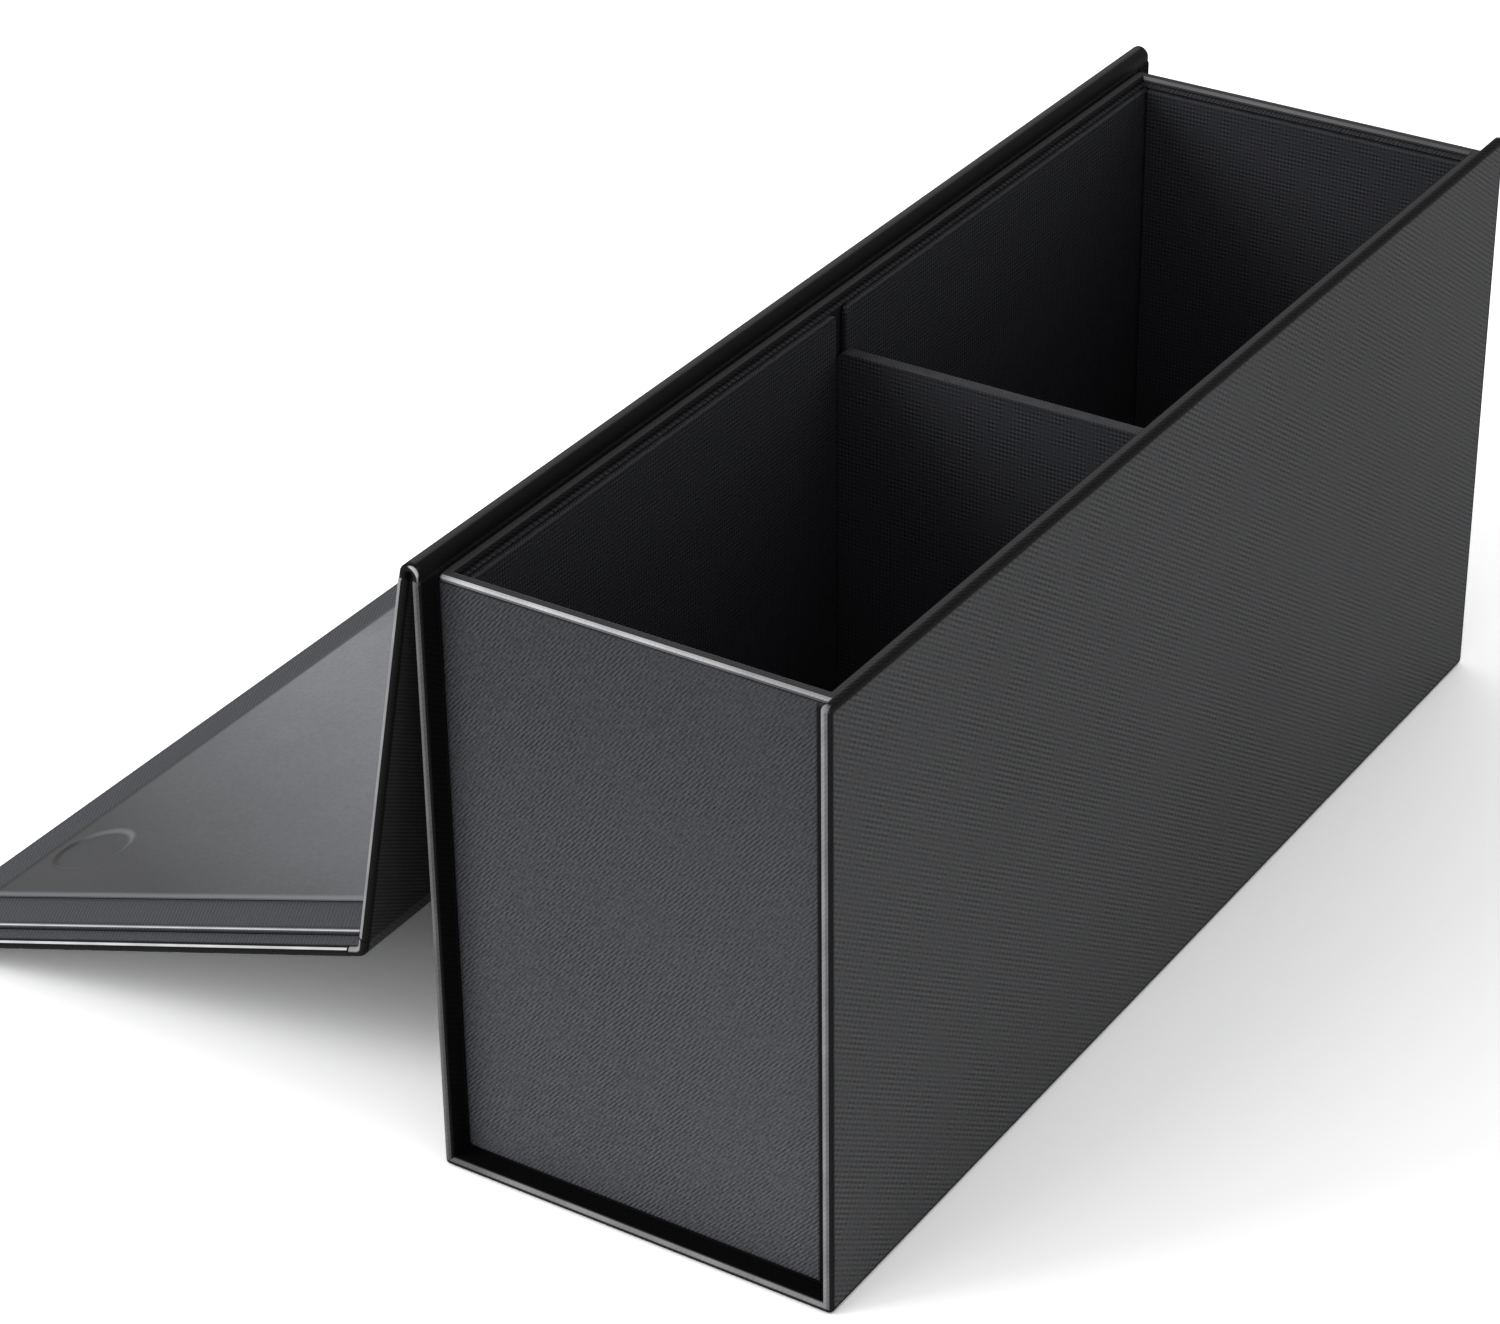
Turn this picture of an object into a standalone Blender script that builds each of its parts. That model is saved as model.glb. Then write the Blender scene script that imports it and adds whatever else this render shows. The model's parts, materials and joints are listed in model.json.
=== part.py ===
"""Storage case with a book-style cover: a wrapped board tray inside a cover with a lid and a magnetic flap.

Units are metres and +Z is up. +X points to the front panel, +Y runs along the case, and the origin is the
centre of the underside. The case stands open: the lid hangs behind the back panel, and the flap slopes down
from the lid to rest its free edge on the table.
"""

import math

import bmesh
import bpy
from mathutils import Vector

# Whole case, outside the cover
CASE_LENGTH = 0.320
CASE_WIDTH = 0.102
CASE_HEIGHT = 0.152

# Board, skin and the clearance between pieces that touch
GAP = 0.0003
SKIN = 0.00035
COVER_BOARD = 0.0012
TRAY_BOARD = 0.0020
LINING_BOARD = 0.0016
HINGE_CLOTH = 0.0018

# Rounding of wrapped edges and of bare board
COVER_EDGE_RADIUS = 0.00115
TRAY_CORNER_RADIUS = 0.0016
RIM_RADIUS = 0.0012
RIM_INNER_CORNER = 0.0004
BOARD_EDGE = 0.0004
TRAY_BOARD_EDGE = 0.0007
LINING_EDGE = 0.0004
LINING_CORNER = 0.0018

# Tray inside the cover
END_OVERHANG = 0.006
RIM_DROP = 0.0018
TRAY_TURN_IN = 0.012
LINING_DROP = 0.0030
LINING_LIP_CLEARANCE = 0.0003

# Divider and its slots
SLOT_WIDTH = 0.0045
DIVIDER_BOARD = 0.0020
DIVIDER_HEIGHT = 0.132
DIVIDER_CORNER = 0.003
DIVIDER_SIDE_CLEARANCE = 0.0004

# Lid hinge and lid
BACK_PANEL_DROP = 0.0008
AXIS_BEHIND_BACK = 0.0005
AXIS_UNDER_SKIN = 0.0002
HINGE_SETBACK = 0.0035
LID_LEAN = math.radians(10.0)
LID_TURN_IN = 0.012
LID_LINER_CLEARANCE = 0.002

# Flap, with its pad on the inner side
FLAP_CLEARANCE = 0.0004
FLAP_EDGE_HEIGHT = 0.0026
PAD_BOARD = 0.0009
PAD_INSET = 0.006
PAD_HINGE_INSET = 0.001
PAD_EDGE_RADIUS = 0.0006
LINER_END_BORDER = 0.013
LINER_FREE_BORDER = 0.0095
LINER_HINGE_BORDER = 0.0015

# Magnets in the flap and the steel discs that they catch
MAGNET_RADIUS = 0.010
MAGNET_THICKNESS = 0.0011
MAGNET_FROM_END = 0.043
MAGNET_FROM_FREE_EDGE = 0.0295
DIP_RADIUS = 0.0105
DIP_SLOPE = 0.0013
DISC_RADIUS = 0.010
DISC_THICKNESS = 0.0016

# Counts and shares
EDGE_SEGMENTS = 3
CORNER_SEGMENTS = 4
DISC_SIDES = 32
BEND_POINTS = 13
LID_BEND_REACH_SHARE = 0.70
FLAP_BEND_REACH_SHARE = 0.55

# Overrun of every cutter past the face that it opens
OVERRUN = 0.004

# Depths below the cover's outer face
BOARD_TOP = SKIN + GAP
COVER_THICKNESS = BOARD_TOP + COVER_BOARD
LIP_TOP = COVER_THICKNESS + GAP
PANEL_THICKNESS = LIP_TOP + SKIN
PAD_TOP = LIP_TOP + PAD_BOARD
PAD_SKIN_TOP = PAD_TOP + GAP
LINER_TOP = PAD_SKIN_TOP + SKIN + GAP
FLAP_THICKNESS = LINER_TOP + SKIN
FLAP_TURN_IN = PAD_INSET - GAP

# Faces of the cover and the tray, as distances from the centre
HALF_LENGTH = CASE_LENGTH / 2
HALF_WIDTH = CASE_WIDTH / 2
TRAY_HALF_WIDTH = HALF_WIDTH - COVER_THICKNESS - GAP
TRAY_HALF_LENGTH = HALF_LENGTH - END_OVERHANG
TRAY_BOTTOM = COVER_THICKNESS + GAP
TRAY_TOP = CASE_HEIGHT - RIM_DROP
RIM_WIDTH = SKIN + GAP + TRAY_BOARD + GAP + SKIN
RIM_INNER_X = TRAY_HALF_WIDTH - RIM_WIDTH
WALL_OUTER_X = TRAY_HALF_WIDTH - BOARD_TOP
WALL_INNER_X = WALL_OUTER_X - TRAY_BOARD
WALL_OUTER_Y = TRAY_HALF_LENGTH - BOARD_TOP
WALL_INNER_Y = WALL_OUTER_Y - TRAY_BOARD
FLOOR_BOTTOM = TRAY_BOTTOM + BOARD_TOP
FLOOR_TOP = FLOOR_BOTTOM + TRAY_BOARD
WALL_BOTTOM = FLOOR_TOP + GAP
WALL_TOP = TRAY_TOP - BOARD_TOP
LINING_OUTER_X = WALL_INNER_X - GAP
LINING_INNER_X = LINING_OUTER_X - LINING_BOARD
LINING_OUTER_Y = WALL_INNER_Y - GAP
LINING_INNER_Y = LINING_OUTER_Y - LINING_BOARD
LINING_FLOOR_TOP = WALL_BOTTOM + LINING_BOARD
LINING_TOP = TRAY_TOP - LINING_DROP
BACK_TOP = CASE_HEIGHT - BACK_PANEL_DROP

# Hinge axes: the lid's is over the back panel, the flap's is past the front panel when the lid is shut
LID_AXIS_X = -HALF_WIDTH - AXIS_BEHIND_BACK
LID_AXIS_Z = CASE_HEIGHT + GAP + PANEL_THICKNESS - AXIS_UNDER_SKIN
FLAP_AXIS_X = HALF_WIDTH + FLAP_CLEARANCE + FLAP_THICKNESS - AXIS_UNDER_SKIN
LID_SPAN = FLAP_AXIS_X - LID_AXIS_X
LID_END = LID_SPAN - HINGE_SETBACK
FLAP_LENGTH = LID_AXIS_Z - FLAP_EDGE_HEIGHT

# Open pose: angles are turns about +Y from the shut lid, and the flap's free edge meets the table
LID_OPEN = math.pi / 2 + LID_LEAN
FOLD_HEIGHT = LID_AXIS_Z - LID_SPAN * math.cos(LID_LEAN)
FLAP_SLOPE = math.asin(FOLD_HEIGHT / math.hypot(FLAP_LENGTH, AXIS_UNDER_SKIN)) - math.atan2(
    AXIS_UNDER_SKIN, FLAP_LENGTH
)
FLAP_OPEN = math.pi - FLAP_SLOPE - LID_OPEN

# Magnet places, in the flap and in the front wall where the shut flap puts them
MAGNET_REACH = FLAP_LENGTH - MAGNET_FROM_FREE_EDGE
MAGNET_Y = HALF_LENGTH - MAGNET_FROM_END
DISC_Z = FLAP_EDGE_HEIGHT + MAGNET_FROM_FREE_EDGE

# Material name: colour, roughness, metallic
MATERIALS = {
    "cover_leathercloth": ((0.045, 0.047, 0.052), 0.62, 0.0),
    "lining_paper": ((0.018, 0.019, 0.022), 0.75, 0.0),
    "liner_satin": ((0.060, 0.062, 0.067), 0.45, 0.0),
    "grey_board": ((0.16, 0.15, 0.14), 0.90, 0.0),
    "steel": ((0.55, 0.56, 0.58), 0.35, 1.0),
    "nickel": ((0.66, 0.65, 0.62), 0.25, 1.0),
}


def clear_scene():
    """Empty the file of objects, so the script can run again in an open file."""
    for old in list(bpy.data.objects):
        bpy.data.objects.remove(old, do_unlink=True)


def collection(name):
    """Return the collection with this name, linked to the scene."""
    found = bpy.data.collections.get(name) or bpy.data.collections.new(name)
    if found.name not in bpy.context.scene.collection.children:
        bpy.context.scene.collection.children.link(found)
    return found


def material(name):
    """Return the Principled material with this name."""
    found = bpy.data.materials.get(name)
    if found:
        return found
    colour, roughness, metallic = MATERIALS[name]
    found = bpy.data.materials.new(name)
    found.use_nodes = True
    shader = found.node_tree.nodes["Principled BSDF"]
    shader.inputs["Base Color"].default_value = (*colour, 1.0)
    shader.inputs["Roughness"].default_value = roughness
    shader.inputs["Metallic"].default_value = metallic
    return found


def add_object(name, shape, place, parent=None, look=None):
    """Turn a bmesh into a named object: a part with a look, or else a cutter."""
    mesh = bpy.data.meshes.new(name)
    shape.to_mesh(mesh)
    shape.free()
    made = bpy.data.objects.new(name, mesh)
    made.location = place
    made.parent = parent
    if look:
        mesh.materials.append(material(look))
        collection("storage_case").objects.link(made)
    else:
        collection("cutters").objects.link(made)
        made.hide_render = True
        made.display_type = "WIRE"
    return made


def add_axis(name, place, turn, parent=None):
    """Add an empty on a hinge axis, turned about its own Y."""
    axis = bpy.data.objects.new(name, None)
    axis.location = place
    axis.rotation_euler.y = turn
    axis.parent = parent
    collection("storage_case").objects.link(axis)
    return axis


def add_block(name, low, high, radius=0.0, parent=None, look=None, segments=EDGE_SEGMENTS):
    """Add a box between two corners, its edges rounded by the radius."""
    low, high = Vector(low), Vector(high)
    shape = bmesh.new()
    bmesh.ops.create_cube(shape, size=1.0)
    bmesh.ops.scale(shape, vec=high - low, verts=shape.verts)
    if radius > 0.0:
        bmesh.ops.bevel(
            shape, geom=shape.edges, offset=radius, segments=segments, profile=0.5, affect="EDGES"
        )
    return add_object(name, shape, (low + high) / 2, parent, look)


def add_disc(name, centre, radius, thickness, axis, parent=None, look=None, far_radius=None):
    """Add a disc or a cone slice, its thickness along the given axis."""
    shape = bmesh.new()
    bmesh.ops.create_cone(
        shape,
        cap_ends=True,
        segments=DISC_SIDES,
        radius1=radius,
        radius2=radius if far_radius is None else far_radius,
        depth=thickness,
    )
    made = add_object(name, shape, centre, parent, look)
    made.rotation_euler.y = math.pi / 2 if axis == "X" else 0.0
    for face in made.data.polygons:
        face.use_smooth = len(face.vertices) == 4
    return made


def combine(target, tool, operation="DIFFERENCE"):
    """Cut the tool from the target, or join it on."""
    step = target.modifiers.new(tool.name, "BOOLEAN")
    step.operation = operation
    step.solver = "EXACT"
    step.object = tool


def pocket_radius(radius):
    """Rounding inside a skin, which keeps the skin's thickness round an edge."""
    return max(radius - SKIN, 0.0)


def rounded_rectangle(half_x, half_y, radius):
    """Points of a rectangle with round corners, counter-clockwise from the +X side."""
    points = []
    for quarter, (side_x, side_y) in enumerate(((1, 1), (-1, 1), (-1, -1), (1, -1))):
        for step in range(CORNER_SEGMENTS + 1):
            angle = (quarter + step / CORNER_SEGMENTS) * math.pi / 2
            x = side_x * (half_x - radius) + radius * math.cos(angle)
            y = side_y * (half_y - radius) + radius * math.sin(angle)
            points.append((x, y))
    return points


def arc(centre, radius, start, end):
    """Points of an arc in a wall's section, from a start angle to an end angle."""
    turns = [start + (end - start) * step / CORNER_SEGMENTS for step in range(CORNER_SEGMENTS + 1)]
    return [(centre[0] + radius * math.cos(turn), centre[1] + radius * math.sin(turn)) for turn in turns]


def bend(start, start_way, end, end_way, reach):
    """Points of a cubic bend that leaves the start and enters the end along the given ways."""
    start, end = Vector(start), Vector(end)
    first = start + Vector(start_way) * reach
    second = end - Vector(end_way) * reach
    points = []
    for step in range(BEND_POINTS):
        t = step / (BEND_POINTS - 1)
        s = 1 - t
        points.append(s**3 * start + 3 * s * s * t * first + 3 * s * t * t * second + t**3 * end)
    return points


def solidify(target, thickness, offset):
    """Give an open surface its thickness."""
    step = target.modifiers.new("thickness", "SOLIDIFY")
    step.thickness = thickness
    step.offset = offset
    step.use_even_offset = True
    step.use_quality_normals = True


def add_ribbon(name, path, parent=None, look=None):
    """Add a strip of hinge cloth that follows a path of X and Z and runs the length of the case."""
    shape = bmesh.new()
    near = [shape.verts.new((point[0], -HALF_LENGTH, point[1])) for point in path]
    edges = [shape.edges.new(pair) for pair in zip(near, near[1:])]
    swept = bmesh.ops.extrude_edge_only(shape, edges=edges)["geom"]
    far = [item for item in swept if isinstance(item, bmesh.types.BMVert)]
    bmesh.ops.translate(shape, vec=(0.0, CASE_LENGTH, 0.0), verts=far)
    for face in shape.faces:
        face.smooth = True
    made = add_object(name, shape, (0.0, 0.0, 0.0), parent, look)
    solidify(made, HINGE_CLOTH, 0.0)
    return made


def turned(point, angle):
    """Turn a point of X and Z about +Y."""
    x, z = point
    return Vector((x * math.cos(angle) + z * math.sin(angle), z * math.cos(angle) - x * math.sin(angle)))


def wrapped_panel(name, start, end, turn_in, hinge_turn_in, parent):
    """Add a panel's skin: an open tray round the board, its rim turned in over the inner face."""
    outer = AXIS_UNDER_SKIN
    skin = add_block(
        name,
        (start, -HALF_LENGTH, outer - PANEL_THICKNESS),
        (end, HALF_LENGTH, outer),
        COVER_EDGE_RADIUS,
        parent,
        "cover_leathercloth",
    )
    pocket = add_block(
        name + "_pocket",
        (start + SKIN, SKIN - HALF_LENGTH, outer - LIP_TOP),
        (end - SKIN, HALF_LENGTH - SKIN, outer - SKIN),
        pocket_radius(COVER_EDGE_RADIUS),
        parent,
    )
    window = add_block(
        name + "_window",
        (start + hinge_turn_in, turn_in - HALF_LENGTH, outer - PANEL_THICKNESS - OVERRUN),
        (end - turn_in, HALF_LENGTH - turn_in, outer - COVER_THICKNESS),
        0.0,
        parent,
    )
    combine(skin, pocket)
    combine(skin, window)
    return skin


def panel_board(name, start, end, parent):
    """Add the board inside a wrapped panel."""
    return add_block(
        name,
        (start + BOARD_TOP, BOARD_TOP - HALF_LENGTH, AXIS_UNDER_SKIN - COVER_THICKNESS),
        (end - BOARD_TOP, HALF_LENGTH - BOARD_TOP, AXIS_UNDER_SKIN - BOARD_TOP),
        BOARD_EDGE,
        parent,
        "grey_board",
        segments=1,
    )


def add_bent_panel(name, outer, inner, radius, look=None):
    """Add the front, base and back panels in one bent piece, between two depths below the outer face."""
    wide, narrow = HALF_WIDTH - outer, HALF_WIDTH - inner
    front_top, back_top = CASE_HEIGHT - outer, BACK_TOP - outer
    outline = [(-wide, outer), (wide, outer), (wide, front_top), (narrow, front_top)]
    outline += [(narrow, inner), (-narrow, inner), (-narrow, back_top), (-wide, back_top)]
    end_y = HALF_LENGTH - outer
    shape = bmesh.new()
    near = shape.faces.new([shape.verts.new((x, -end_y, z)) for x, z in outline])
    swept = bmesh.ops.extrude_face_region(shape, geom=[near])["geom"]
    far = [item for item in swept if isinstance(item, bmesh.types.BMVert)]
    bmesh.ops.translate(shape, vec=(0.0, 2 * end_y, 0.0), verts=far)
    bmesh.ops.recalc_face_normals(shape, faces=shape.faces)
    convex = [edge for edge in shape.edges if edge.is_convex]
    bmesh.ops.bevel(
        shape, geom=convex, offset=radius, segments=EDGE_SEGMENTS, profile=0.5, affect="EDGES"
    )
    return add_object(name, shape, (0.0, 0.0, 0.0), look=look)


def make_cover_wrap():
    """Skin of the front, base and back panels in one piece, turned in over the boards' ends and tops."""
    skin = add_bent_panel("cover_wrap", 0.0, PANEL_THICKNESS, COVER_EDGE_RADIUS, "cover_leathercloth")
    pocket = add_bent_panel("cover_pocket", SKIN, LIP_TOP, pocket_radius(COVER_EDGE_RADIUS))
    wide_x = HALF_WIDTH - COVER_THICKNESS
    tray_end = TRAY_HALF_LENGTH + GAP
    low, high = (-wide_x, -tray_end, COVER_THICKNESS), (wide_x, tray_end, TRAY_TOP + GAP)
    combine(skin, pocket)
    combine(skin, add_block("cover_inside", low, high))


def make_cover_boards():
    """Boards of the front, base and back panels."""
    outer_x = HALF_WIDTH - BOARD_TOP
    inner_x = HALF_WIDTH - COVER_THICKNESS
    end_y = HALF_LENGTH - BOARD_TOP
    base_x = inner_x - GAP
    spans = {
        "cover_board_front": ((inner_x, -end_y, BOARD_TOP), (outer_x, end_y, CASE_HEIGHT - BOARD_TOP)),
        "cover_board_base": ((-base_x, -end_y, BOARD_TOP), (base_x, end_y, COVER_THICKNESS)),
        "cover_board_back": ((-outer_x, -end_y, BOARD_TOP), (-inner_x, end_y, BACK_TOP - BOARD_TOP)),
    }
    for name, (low, high) in spans.items():
        add_block(name, low, high, BOARD_EDGE, look="grey_board", segments=1)


def make_tray_wrap():
    """Skin of the tray: turned in under the floor and rolled over the rim, lofted round the four walls."""
    bottom_arc = arc((RIM_RADIUS, TRAY_BOTTOM + RIM_RADIUS), RIM_RADIUS, -math.pi / 2, -math.pi)
    outer_arc = arc((RIM_RADIUS, TRAY_TOP - RIM_RADIUS), RIM_RADIUS, math.pi, math.pi / 2)
    inner_arc = arc((RIM_WIDTH - RIM_RADIUS, TRAY_TOP - RIM_RADIUS), RIM_RADIUS, math.pi / 2, 0.0)
    section = [(TRAY_TURN_IN, TRAY_BOTTOM)] + bottom_arc + outer_arc + inner_arc
    section.append((RIM_WIDTH, LINING_TOP + LINING_LIP_CLEARANCE))
    shape = bmesh.new()
    rings = []
    for inset, height in section:
        radius = max(TRAY_CORNER_RADIUS - inset, RIM_INNER_CORNER)
        outline = rounded_rectangle(TRAY_HALF_WIDTH - inset, TRAY_HALF_LENGTH - inset, radius)
        rings.append([shape.verts.new((x, y, height)) for x, y in outline])
    for lower, upper in zip(rings, rings[1:]):
        count = len(lower)
        for i in range(count):
            j = (i + 1) % count
            shape.faces.new((lower[i], lower[j], upper[j], upper[i])).smooth = True
    skin = add_object("tray_wrap", shape, (0.0, 0.0, 0.0), look="cover_leathercloth")
    solidify(skin, SKIN, -1.0)


def make_tray_boards():
    """Floor and four walls of the tray, with the front wall bored for the steel discs."""
    between_x = WALL_INNER_X - GAP
    low_x, high_x = WALL_INNER_X, WALL_OUTER_X
    low_y, high_y = WALL_INNER_Y, WALL_OUTER_Y
    spans = {
        "tray_board_base": ((-high_x, -high_y, FLOOR_BOTTOM), (high_x, high_y, FLOOR_TOP)),
        "tray_board_front": ((low_x, -high_y, WALL_BOTTOM), (high_x, high_y, WALL_TOP)),
        "tray_board_back": ((-high_x, -high_y, WALL_BOTTOM), (-low_x, high_y, WALL_TOP)),
        "tray_board_near": ((-between_x, -high_y, WALL_BOTTOM), (between_x, -low_y, WALL_TOP)),
        "tray_board_far": ((-between_x, low_y, WALL_BOTTOM), (between_x, high_y, WALL_TOP)),
    }
    boards = {
        name: add_block(name, low, high, TRAY_BOARD_EDGE, look="grey_board", segments=1)
        for name, (low, high) in spans.items()
    }
    middle_x = (low_x + high_x) / 2
    for side, y in (("near", -MAGNET_Y), ("far", MAGNET_Y)):
        place = (middle_x, y, DISC_Z)
        bore = add_disc("disc_bore_" + side, place, DISC_RADIUS + GAP, TRAY_BOARD + OVERRUN, "X")
        combine(boards["tray_board_front"], bore)
        add_disc("catch_disc_" + side, place, DISC_RADIUS, DISC_THICKNESS, "X", look="steel")


def round_slot_corner(panel, toward_slot):
    """Round the top corner of a lining panel where it meets the divider's slot."""
    shape = bmesh.new()
    shape.from_mesh(panel.data)
    top = max(vert.co.z for vert in shape.verts)
    slot = max(vert.co.y * toward_slot for vert in shape.verts)
    corner = [
        edge
        for edge in shape.edges
        if all(vert.co.z == top and vert.co.y * toward_slot == slot for vert in edge.verts)
    ]
    bmesh.ops.bevel(
        shape, geom=corner, offset=LINING_CORNER, segments=CORNER_SEGMENTS, profile=0.5, affect="EDGES"
    )
    shape.to_mesh(panel.data)
    shape.free()


def soften(panel):
    """Soften the sharp edges of a lining panel."""
    step = panel.modifiers.new("soft_edges", "BEVEL")
    step.width = LINING_EDGE
    step.segments = EDGE_SEGMENTS
    step.limit_method = "ANGLE"
    step.angle_limit = math.radians(40.0)


def make_linings():
    """Lining panels of each bay's floor, end and long walls, which leave a slot round mid length."""
    edge_x = LINING_INNER_X - GAP
    edge_y = LINING_INNER_Y - GAP
    slot = SLOT_WIDTH / 2
    for side, way in (("near", -1), ("far", 1)):
        spans = {
            "lining_floor_": (-edge_x, edge_x, slot, edge_y, LINING_FLOOR_TOP),
            "lining_end_": (-edge_x, edge_x, LINING_INNER_Y, LINING_OUTER_Y, LINING_TOP),
            "lining_front_": (LINING_INNER_X, LINING_OUTER_X, slot, LINING_OUTER_Y, LINING_TOP),
            "lining_back_": (-LINING_OUTER_X, -LINING_INNER_X, slot, LINING_OUTER_Y, LINING_TOP),
        }
        for name, (low_x, high_x, inner_y, outer_y, top) in spans.items():
            low_y, high_y = sorted((way * inner_y, way * outer_y))
            low, high = (low_x, low_y, WALL_BOTTOM), (high_x, high_y, top)
            panel = add_block(name + side, low, high, look="lining_paper")
            if name in ("lining_front_", "lining_back_"):
                round_slot_corner(panel, -way)
            soften(panel)


def make_divider():
    """Divider: a board in a paper sleeve that is open below, standing in the two slots."""
    base = add_axis("divider_seat", (0.0, 0.0, WALL_BOTTOM), 0.0)
    half_x = RIM_INNER_X - DIVIDER_SIDE_CLEARANCE
    half_y = DIVIDER_BOARD / 2 + GAP + SKIN
    low, high = (-half_x, -half_y, 0.0), (half_x, half_y, DIVIDER_HEIGHT)
    sleeve = add_block("divider_wrap", low, high, parent=base, look="lining_paper")
    hollow_x, hollow_y = half_x - SKIN, half_y - SKIN
    hollow_low, hollow_high = (-hollow_x, -hollow_y, -OVERRUN), (hollow_x, hollow_y, DIVIDER_HEIGHT - SKIN)
    hollow = add_block("divider_hollow", hollow_low, hollow_high, parent=base)
    board_x, board_y = hollow_x - GAP, hollow_y - GAP
    board_low, board_high = (-board_x, -board_y, 0.0), (board_x, board_y, DIVIDER_HEIGHT - BOARD_TOP)
    board = add_block("divider_board", board_low, board_high, parent=base, look="grey_board")
    for panel, inset in ((sleeve, 0.0), (hollow, SKIN), (board, BOARD_TOP)):
        round_top_corners(panel, DIVIDER_CORNER - inset)
    combine(sleeve, hollow)


def round_top_corners(panel, radius):
    """Round the two upper corners of an upright panel."""
    shape = bmesh.new()
    shape.from_mesh(panel.data)
    top = max(vert.co.z for vert in shape.verts)
    corners = [
        edge
        for edge in shape.edges
        if all(vert.co.z == top for vert in edge.verts) and edge.verts[0].co.x == edge.verts[1].co.x
    ]
    bmesh.ops.bevel(
        shape, geom=corners, offset=radius, segments=CORNER_SEGMENTS, profile=0.5, affect="EDGES"
    )
    shape.to_mesh(panel.data)
    shape.free()


def make_lid_hinge():
    """Cloth arch from the back panel's top to the lid, drawn as it lies with the lid open."""
    start = (COVER_THICKNESS / 2 - HALF_WIDTH, BACK_TOP + GAP)
    middle = AXIS_UNDER_SKIN - PANEL_THICKNESS / 2
    end = turned((HINGE_SETBACK - GAP, middle), LID_OPEN) + Vector((LID_AXIS_X, LID_AXIS_Z))
    way = turned((1.0, 0.0), LID_OPEN)
    path = bend(start, (0.0, 1.0), end, way, HINGE_SETBACK * LID_BEND_REACH_SHARE)
    add_ribbon("lid_hinge_cloth", path, look="cover_leathercloth")


def make_lid(axis):
    """Lid panel: board, skin and an inner liner that dips inside the tray's rim when shut."""
    panel_board("lid_board", HINGE_SETBACK, LID_END, axis)
    wrapped_panel("lid_wrap", HINGE_SETBACK, LID_END, LID_TURN_IN, LID_TURN_IN, axis)
    opening_x = RIM_INNER_X - LID_LINER_CLEARANCE
    opening_y = TRAY_HALF_LENGTH - RIM_WIDTH - LID_LINER_CLEARANCE
    top = AXIS_UNDER_SKIN - PANEL_THICKNESS - GAP
    low = (-opening_x - LID_AXIS_X, -opening_y, top - SKIN)
    high = (opening_x - LID_AXIS_X, opening_y, top)
    add_block("lid_liner", low, high, parent=axis, look="liner_satin")


def make_flap_hinge(axis):
    """Cloth bend from the lid's edge to the flap, drawn as it lies with the flap on the table."""
    middle = AXIS_UNDER_SKIN - PANEL_THICKNESS / 2
    start = (LID_SPAN - HINGE_SETBACK + GAP, middle)
    end = turned((HINGE_SETBACK - GAP, middle), FLAP_OPEN) + Vector((LID_SPAN, 0.0))
    way = turned((1.0, 0.0), FLAP_OPEN)
    path = bend(start, (1.0, 0.0), end, way, HINGE_SETBACK * FLAP_BEND_REACH_SHARE)
    add_ribbon("flap_hinge_cloth", path, axis, "cover_leathercloth")


def make_flap(axis):
    """Flap: outer panel, pad with its own skin, liner with a dip over each magnet, and the magnets."""
    outer = AXIS_UNDER_SKIN
    panel_board("flap_board", HINGE_SETBACK, FLAP_LENGTH, axis)
    wrapped_panel("flap_wrap", HINGE_SETBACK, FLAP_LENGTH, FLAP_TURN_IN, SKIN, axis)

    start, end = HINGE_SETBACK + PAD_HINGE_INSET, FLAP_LENGTH - PAD_INSET
    side = HALF_LENGTH - PAD_INSET
    pad_low = (start + BOARD_TOP, BOARD_TOP - side, outer - PAD_TOP)
    pad_high = (end - BOARD_TOP, side - BOARD_TOP, outer - LIP_TOP)
    pad = add_block("flap_pad", pad_low, pad_high, BOARD_EDGE, axis, "grey_board", segments=1)

    skin_low = (start, -side, outer - PAD_SKIN_TOP - SKIN)
    skin = add_block(
        "flap_pad_wrap", skin_low, (end, side, outer - LIP_TOP), PAD_EDGE_RADIUS, axis, "cover_leathercloth"
    )
    hollow_low = (start + SKIN, SKIN - side, outer - PAD_SKIN_TOP)
    hollow_high = (end - SKIN, side - SKIN, outer)
    combine(skin, add_block("pad_hollow", hollow_low, hollow_high, pocket_radius(PAD_EDGE_RADIUS), axis))

    liner_y = side - LINER_END_BORDER
    liner_low = (start + LINER_HINGE_BORDER, -liner_y, outer - FLAP_THICKNESS)
    liner_high = (end - LINER_FREE_BORDER, liner_y, outer - LINER_TOP)
    liner = add_block("flap_liner", liner_low, liner_high, parent=axis, look="liner_satin")

    for name, y in (("near", -MAGNET_Y), ("far", MAGNET_Y)):
        make_magnet(name, y, pad, skin, liner, axis)


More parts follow.
